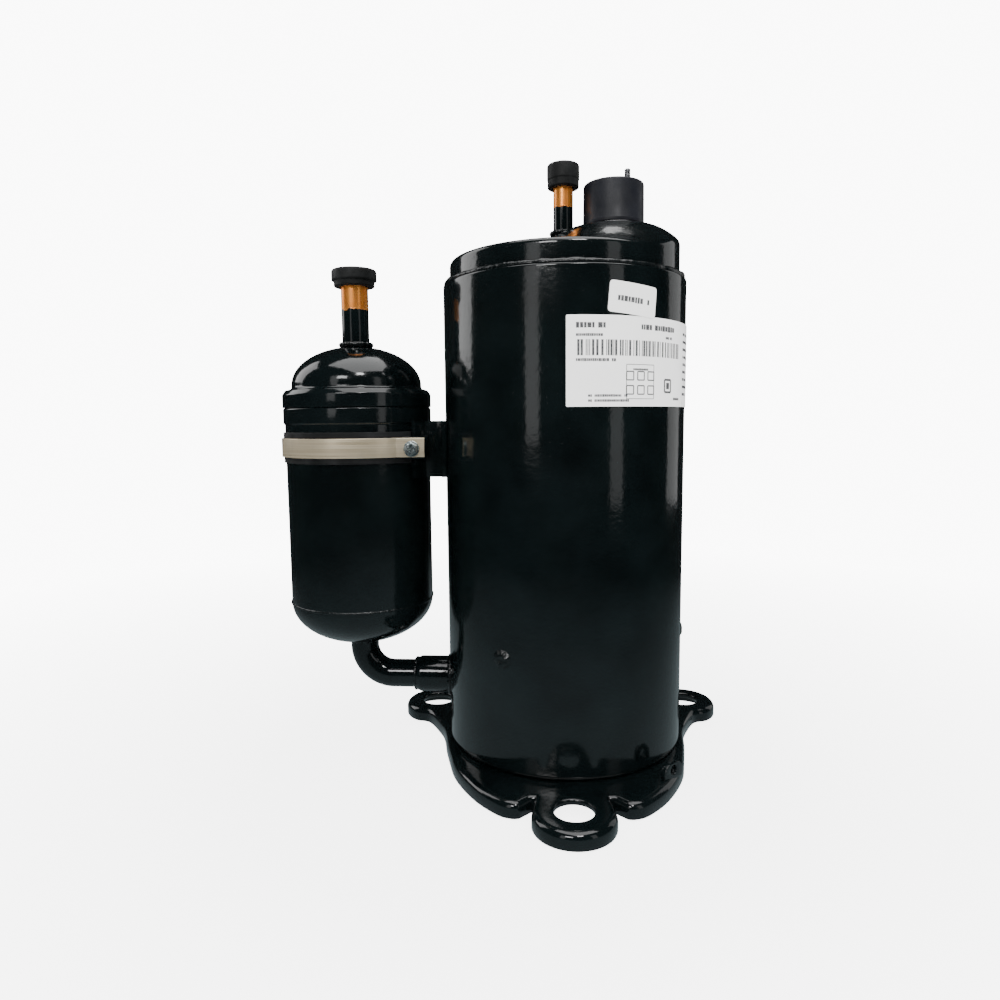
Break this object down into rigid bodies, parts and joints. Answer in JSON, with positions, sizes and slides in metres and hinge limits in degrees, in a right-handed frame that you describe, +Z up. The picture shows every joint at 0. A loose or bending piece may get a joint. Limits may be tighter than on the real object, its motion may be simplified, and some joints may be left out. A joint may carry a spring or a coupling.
{
  "type": "rotary compressor",
  "caption": "Hermetic rotary refrigeration compressor: upright black casing on a footed plate, side accumulator with suction elbow, terminal cover, motor and rolling-piston pump inside",
  "frame": {"origin": "centre of the bounding box in plan, at the level the feet stand on", "axes": "+Z up along the casing's axis; +X from the accumulator toward the casing and terminal; -Y is the front, where one foot points"},
  "size_m": [0.2298, 0.1616, 0.2916],
  "materials": {
    "black_paint": "gloss",
    "copper": "satin bare copper",
    "rubber": "matte",
    "dark_plastic": "satin moulded",
    "gasket": "matte",
    "band_steel": "zinc-plated strip",
    "zinc": "zinc-plated",
    "label": "printed film",
    "steel": "machined or pressed",
    "cast_iron": "machined casting",
    "lamination": "stacked sheet",
    "magnet_wire": "varnished copper wire",
    "aluminium": "cast",
    "glass": "fused bead",
    "lead_jacket": "sleeve"
  },
  "bodies": {
    "casing": {"main_shell": "black_paint", "top_cap": "black_paint", "bottom_cap": "black_paint", "base_plate": "black_paint", "discharge_tube": "copper", "terminal_body": "steel", "terminal_glass_1": "glass", "terminal_pin_1": "copper", "terminal_glass_2": "glass", "terminal_pin_2": "copper", "terminal_glass_3": "glass", "terminal_pin_3": "copper", "terminal_stud": "steel", "terminal_gasket": "gasket", "connector_block": "dark_plastic", "lead_wire_1": "lead_jacket", "lead_wire_2": "lead_jacket", "lead_wire_3": "lead_jacket", "accumulator_top_cap": "black_paint", "accumulator_body": "black_paint", "accumulator_bottom_cap": "black_paint", "accumulator_inlet_tube": "copper", "accumulator_strainer": "steel", "accumulator_support_plate": "steel", "accumulator_standpipe": "steel", "accumulator_bracket": "black_paint", "band_liner": "rubber", "accumulator_band": "band_steel", "band_screw": "zinc", "suction_pipe": "black_paint", "suction_collar": "black_paint", "nameplate_label": "label", "capacity_label": "label", "pump_cylinder": "cast_iron", "upper_bearing": "cast_iron", "lower_bearing": "cast_iron", "discharge_muffler": "steel", "pump_bolt_1": "steel", "pump_bolt_2": "steel", "pump_bolt_3": "steel", "pump_bolt_4": "steel", "pump_bolt_5": "steel", "vane_spring": "steel", "valve_stop": "steel", "valve_rivet": "steel", "stator_core": "lamination", "stator_winding": "magnet_wire"},
    "crank": {"crankshaft": "steel", "rotor_core": "lamination", "rotor_cage": "aluminium", "lower_balance_weight": "steel", "upper_balance_weight": "steel", "oil_paddle": "steel"},
    "roller": {"rolling_piston": "steel"},
    "vane": {"vane": "steel"},
    "reed": {"discharge_valve": "steel"},
    "suction_plug": {"suction_plug": "rubber"},
    "discharge_plug": {"discharge_plug": "rubber"},
    "cover": {"terminal_cover": "dark_plastic"}
  },
  "joints": [
    {"name": "crank_spin", "type": "hinge", "parent": "casing", "child": "crank", "pos_m": [0.02778, 0.01889, 0.0363], "axis": [0, 0, 1], "continuous": true},
    {"name": "roller_spin", "type": "hinge", "parent": "crank", "child": "roller", "pos_m": [0.02578, 0.01542, 0.0363], "axis": [0, 0, 1], "continuous": true},
    {"name": "vane_slide", "type": "slide", "parent": "casing", "child": "vane", "axis": [0.866, -0.5, 0], "range_m": [0, 0.0038]},
    {"name": "reed_lift", "type": "hinge", "parent": "casing", "child": "reed", "pos_m": [0.03126, 0.04879, 0.0571], "axis": [-0.5736, 0.8192, 0], "range_deg": [0, 4]},
    {"name": "suction_plug_pull", "type": "slide", "parent": "casing", "child": "suction_plug", "axis": [0, 0, 1], "range_m": [0, 0.03]},
    {"name": "discharge_plug_pull", "type": "slide", "parent": "casing", "child": "discharge_plug", "axis": [0, 0, 1], "range_m": [0, 0.03]},
    {"name": "cover_lift", "type": "slide", "parent": "casing", "child": "cover", "axis": [0, 0, 1], "range_m": [0, 0.03]}
  ],
  "couplings": [
    {"joint": "roller_spin", "follows": "crank_spin", "ratio": -1}
  ]
}
